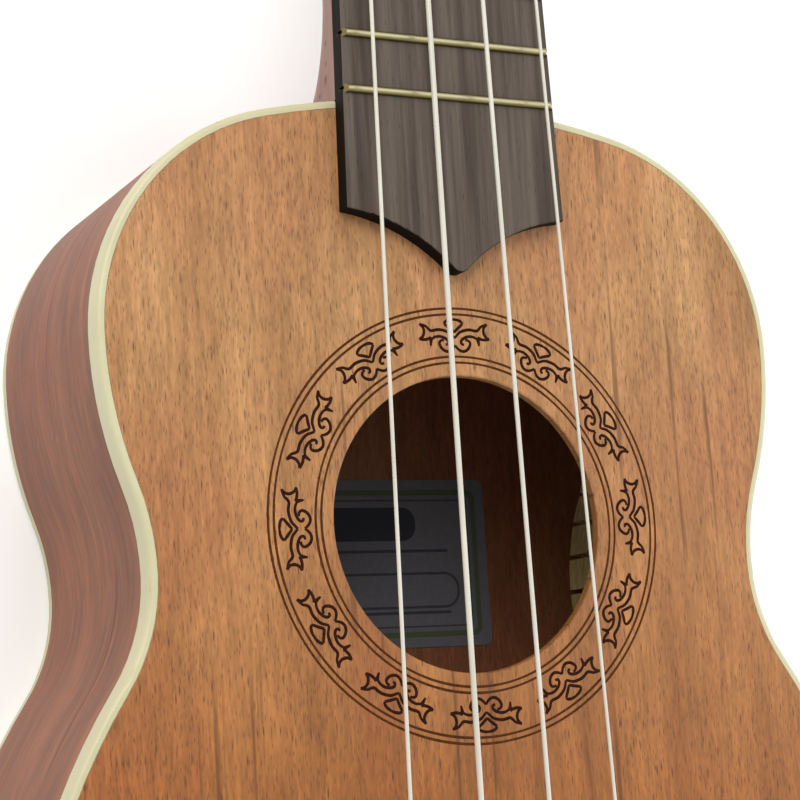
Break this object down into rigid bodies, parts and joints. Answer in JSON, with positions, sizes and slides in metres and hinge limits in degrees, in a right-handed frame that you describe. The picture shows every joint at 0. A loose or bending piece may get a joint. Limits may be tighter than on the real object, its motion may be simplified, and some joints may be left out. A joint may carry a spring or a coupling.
{
  "type": "soprano ukulele",
  "caption": "Soprano ukulele with a waisted body, round sound hole, bound edges, fretted neck, tie bridge, nylon strings and worm-geared side tuners.",
  "frame": {"origin": "bottom centre of the whole instrument's box, on the plane of the back's outer face", "axes": "+Z out of the soundboard, +Y from the tail to the headstock, +X towards the first string's side (treble)"},
  "size_m": [0.169, 0.533, 0.0675],
  "materials": {
    "top_wood": "open-pored mahogany, satin",
    "body_wood": "mahogany, satin",
    "binding": "cream, semi-gloss",
    "inner_wood": "bare softwood",
    "label_paper": "matt printed paper",
    "neck_wood": "mahogany, satin",
    "board_wood": "oiled dark rosewood",
    "fret_brass": "polished",
    "pearl": "pearl",
    "bone": "polished bone-white",
    "bridge_wood": "oiled dark rosewood",
    "string": "clear nylon",
    "plated_steel": "nickel plated",
    "gear_brass": "turned",
    "button": "pearloid"
  },
  "bodies": {
    "root": {"top_plate": "top_wood", "back_plate": "body_wood", "side_bass": "body_wood", "side_treble": "body_wood", "top_binding": "binding", "back_binding": "binding", "neck_block": "inner_wood", "tail_block": "inner_wood", "top_lining_bass": "inner_wood", "top_lining_treble": "inner_wood", "back_lining_bass": "inner_wood", "back_lining_treble": "inner_wood", "top_brace_upper": "inner_wood", "top_brace_lower": "inner_wood", "bridge_patch": "inner_wood", "back_brace_upper": "inner_wood", "back_brace_lower": "inner_wood", "neck_dowels": "inner_wood", "label": "label_paper", "neck": "neck_wood", "fretboard": "board_wood", "frets": "fret_brass", "fret_markers": "pearl", "nut": "bone", "saddle": "bone", "bridge": "bridge_wood", "string_g": "string", "string_c": "string", "string_e": "string", "string_a": "string", "bushings": "plated_steel", "plate_screws": "plated_steel", "tuner_plate_g": "plated_steel", "tuner_plate_c": "plated_steel", "tuner_plate_e": "plated_steel", "tuner_plate_a": "plated_steel"},
    "post_g": {"tuner_post_g": "plated_steel", "tuner_gear_g": "gear_brass", "gear_screw_g": "plated_steel", "winding_g": "string"},
    "post_c": {"tuner_post_c": "plated_steel", "tuner_gear_c": "gear_brass", "gear_screw_c": "plated_steel", "winding_c": "string"},
    "post_e": {"tuner_post_e": "plated_steel", "tuner_gear_e": "gear_brass", "gear_screw_e": "plated_steel", "winding_e": "string"},
    "post_a": {"tuner_post_a": "plated_steel", "tuner_gear_a": "gear_brass", "gear_screw_a": "plated_steel", "winding_a": "string"},
    "knob_g": {"worm_shaft_g": "plated_steel", "tuner_button_g": "button"},
    "knob_c": {"worm_shaft_c": "plated_steel", "tuner_button_c": "button"},
    "knob_e": {"worm_shaft_e": "plated_steel", "tuner_button_e": "button"},
    "knob_a": {"worm_shaft_a": "plated_steel", "tuner_button_a": "button"}
  },
  "joints": [
    {"name": "turn_knob_g", "type": "hinge", "parent": "root", "child": "knob_g", "pos_m": [-0.0155, 0.18352, 0.03275], "axis": [-1, 0, 0], "continuous": true},
    {"name": "turn_knob_c", "type": "hinge", "parent": "root", "child": "knob_c", "pos_m": [-0.0155, 0.22265, 0.02443], "axis": [-1, 0, 0], "continuous": true},
    {"name": "turn_knob_e", "type": "hinge", "parent": "root", "child": "knob_e", "pos_m": [0.0155, 0.22265, 0.02443], "axis": [1, 0, 0], "continuous": true},
    {"name": "turn_knob_a", "type": "hinge", "parent": "root", "child": "knob_a", "pos_m": [0.0155, 0.18352, 0.03275], "axis": [1, 0, 0], "continuous": true},
    {"name": "turn_post_g", "type": "hinge", "parent": "root", "child": "post_g", "pos_m": [-0.0155, 0.18054, 0.05076], "axis": [0, 0.2079, 0.9781], "continuous": true},
    {"name": "turn_post_c", "type": "hinge", "parent": "root", "child": "post_c", "pos_m": [-0.0155, 0.21967, 0.04245], "axis": [0, 0.2079, 0.9781], "continuous": true},
    {"name": "turn_post_e", "type": "hinge", "parent": "root", "child": "post_e", "pos_m": [0.0155, 0.21967, 0.04245], "axis": [0, 0.2079, 0.9781], "continuous": true},
    {"name": "turn_post_a", "type": "hinge", "parent": "root", "child": "post_a", "pos_m": [0.0155, 0.18054, 0.05076], "axis": [0, 0.2079, 0.9781], "continuous": true}
  ],
  "couplings": [
    {"joint": "turn_post_g", "follows": "turn_knob_g", "ratio": 0.071429},
    {"joint": "turn_post_c", "follows": "turn_knob_c", "ratio": 0.071429},
    {"joint": "turn_post_e", "follows": "turn_knob_e", "ratio": 0.071429},
    {"joint": "turn_post_a", "follows": "turn_knob_a", "ratio": 0.071429}
  ]
}
